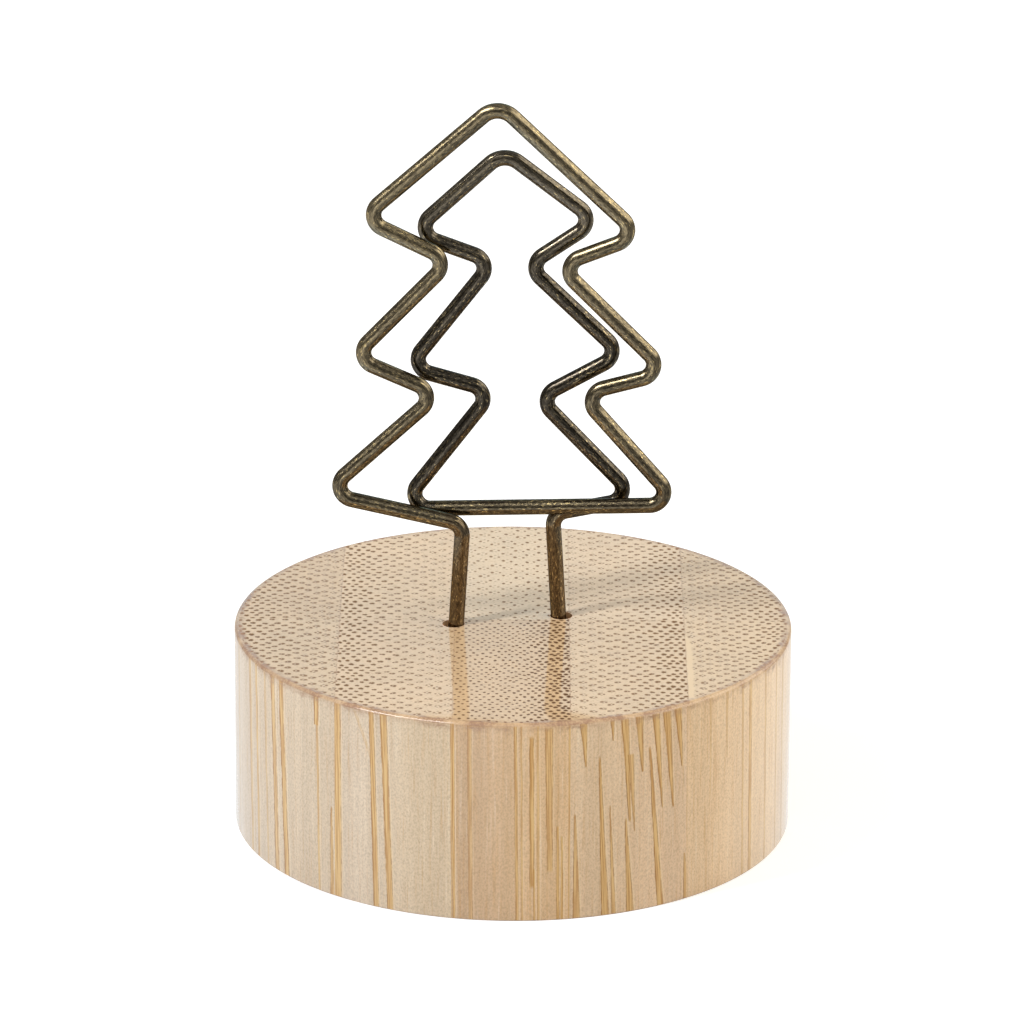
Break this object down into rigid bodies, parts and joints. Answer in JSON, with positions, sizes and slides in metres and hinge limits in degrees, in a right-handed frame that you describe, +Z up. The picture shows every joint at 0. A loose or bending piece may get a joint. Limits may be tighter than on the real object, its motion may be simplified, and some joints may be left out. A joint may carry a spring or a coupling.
{
  "type": "tree note clip",
  "caption": "Round laminated bamboo block carrying a springy wire wound twice round a fir-tree outline; a note is held between its front and back loops.",
  "frame": {"origin": "centre of the block's underside", "axes": "+Z up along the block's axis, the front loop of the tree towards -Y, +X to the right seen from the front"},
  "size_m": [0.05, 0.05, 0.0672],
  "materials": {
    "bamboo": "sanded bamboo end grain under clear satin lacquer",
    "antique_wire": "antique brass plating, dark brown with rubbed gold streaks",
    "glue": "set amber glue"
  },
  "bodies": {
    "block": {"front_strip_1": "bamboo", "front_strip_2": "bamboo", "front_strip_3": "bamboo", "front_strip_4": "bamboo", "front_strip_5": "bamboo", "back_strip_1": "bamboo", "back_strip_2": "bamboo", "back_strip_3": "bamboo", "back_strip_4": "bamboo", "back_strip_5": "bamboo", "left_leg": "antique_wire", "crossbar": "antique_wire", "right_leg": "antique_wire", "left_glue": "glue", "right_glue": "glue"},
    "front_loop": {"front_loop": "antique_wire"},
    "back_loop": {"back_loop": "antique_wire"}
  },
  "joints": [
    {"name": "front_loop_spring", "type": "hinge", "parent": "block", "child": "front_loop", "pos_m": [-0.00614, -0.00064, 0.02838], "axis": [0.9967, 0.0063, 0.0812], "range_deg": [0, 5], "stiffness_Nm_per_rad": 1.7},
    {"name": "back_loop_spring", "type": "hinge", "parent": "block", "child": "back_loop", "pos_m": [0.00515, 0.00153, 0.0286], "axis": [-0.999, -0.0387, 0.023], "range_deg": [0, 5], "stiffness_Nm_per_rad": 1.7}
  ]
}
